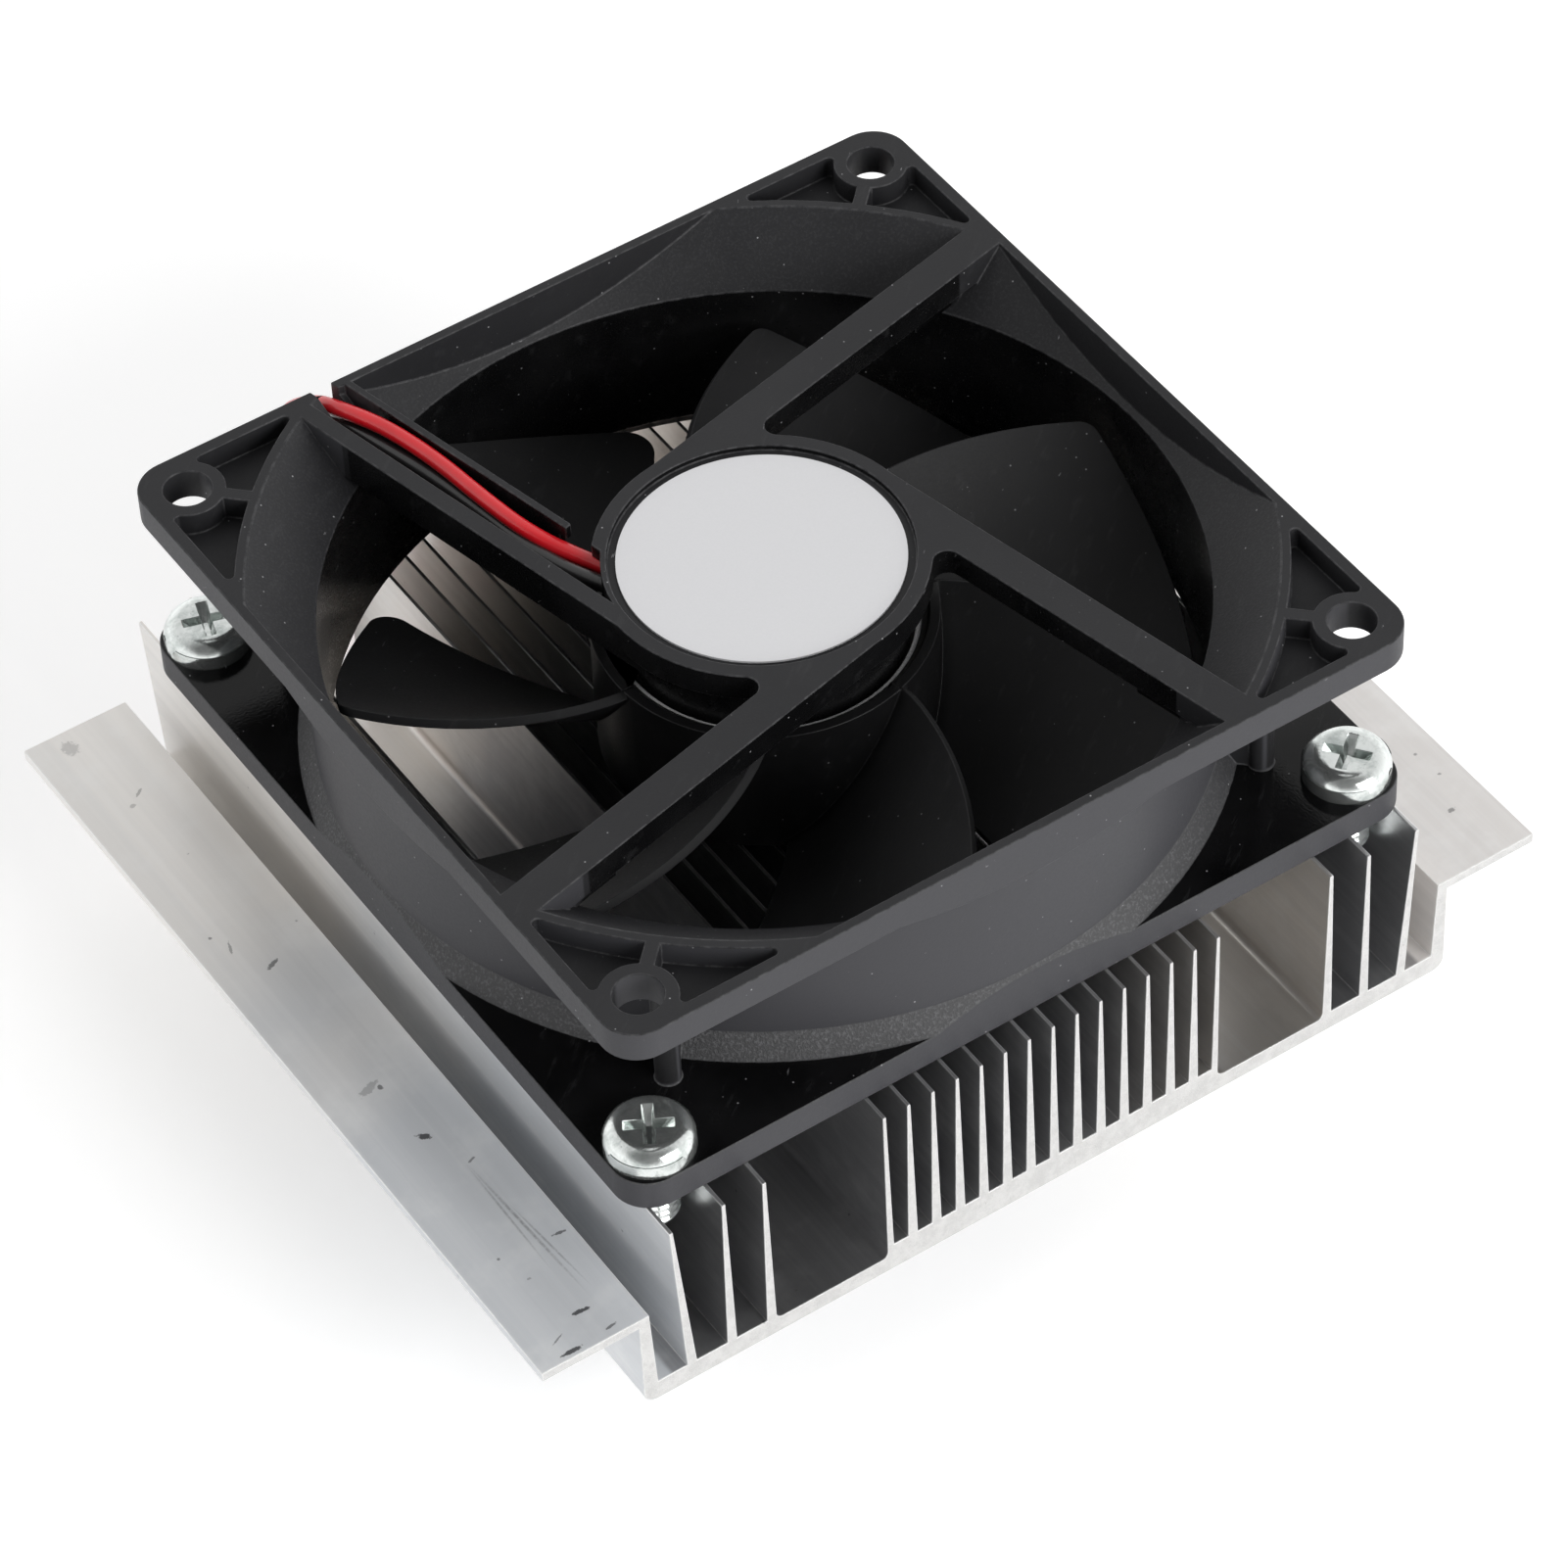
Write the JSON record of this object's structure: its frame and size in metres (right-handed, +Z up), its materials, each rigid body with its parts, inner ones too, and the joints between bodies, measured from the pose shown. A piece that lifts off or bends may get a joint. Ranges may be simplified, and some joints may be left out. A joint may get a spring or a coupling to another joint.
{
  "type": "thermoelectric cooling module",
  "caption": "Finned aluminium heat sink with two side flanges, a square axial fan screwed on top and a cold plate below.",
  "frame": {"origin": "on the cold plate's underside, under the middle of the heat sink", "axes": "+Z up through the fan, +X across the fins to the right flange, +Y along the fins"},
  "size_m": [0.1188, 0.1232, 0.0598],
  "materials": {
    "extruded_aluminium": "mill finish with draw lines along the fins",
    "plate_aluminium": "machined",
    "black_plastic": "moulded, fine texture",
    "drawn_steel": "bright drawn",
    "core_steel": "stacked sheet",
    "zinc_steel": "bright zinc plate",
    "magnet": "bonded ferrite",
    "brass": "turned",
    "bronze": "sintered",
    "copper": "bare and enamelled copper",
    "natural_nylon": "moulded, natural colour",
    "board_green": "solder mask",
    "label_film": "plain film",
    "foam": "closed-cell foam",
    "ceramic": "fired alumina",
    "telluride": "sawn semiconductor",
    "sealant": "silicone bead",
    "red_sheath": "flexible sheath",
    "black_sheath": "flexible sheath",
    "tinned_brass": "tinned"
  },
  "bodies": {
    "housing": {"heat_sink": "extruded_aluminium", "fan_frame": "black_plastic", "thrust_washers": "natural_nylon", "bearing_sleeve": "bronze", "bearing_tube": "brass", "stator_core": "core_steel", "winding_frame_upper": "natural_nylon", "winding_frame_lower": "natural_nylon", "motor_windings": "copper", "circuit_board": "board_green", "hall_sensor": "black_plastic", "drive_chip": "black_plastic", "label_disc": "label_film", "fan_screws": "zinc_steel", "clamp_screws": "zinc_steel", "clamp_bushes": "natural_nylon", "cold_plate": "plate_aluminium", "insulation_gasket": "foam", "hot_ceramic": "ceramic", "cold_ceramic": "ceramic", "semiconductor_legs": "telluride", "hot_tabs": "copper", "cold_tabs": "copper", "edge_seal": "sealant", "red_lead": "red_sheath", "red_coil": "red_sheath", "red_tail": "red_sheath", "black_lead": "black_sheath", "black_coil": "black_sheath", "black_tail": "black_sheath", "lead_plug": "natural_nylon", "plug_contacts": "tinned_brass"},
    "rotor": {"impeller": "black_plastic", "rotor_cup": "drawn_steel", "magnet_ring": "magnet", "shaft_boss": "brass", "rotor_shaft": "drawn_steel", "retaining_clip": "drawn_steel"}
  },
  "joints": [
    {"name": "impeller_spin", "type": "hinge", "parent": "housing", "child": "rotor", "pos_m": [0, -0.0009, 0.0438], "axis": [0, 0, 1], "continuous": true}
  ]
}
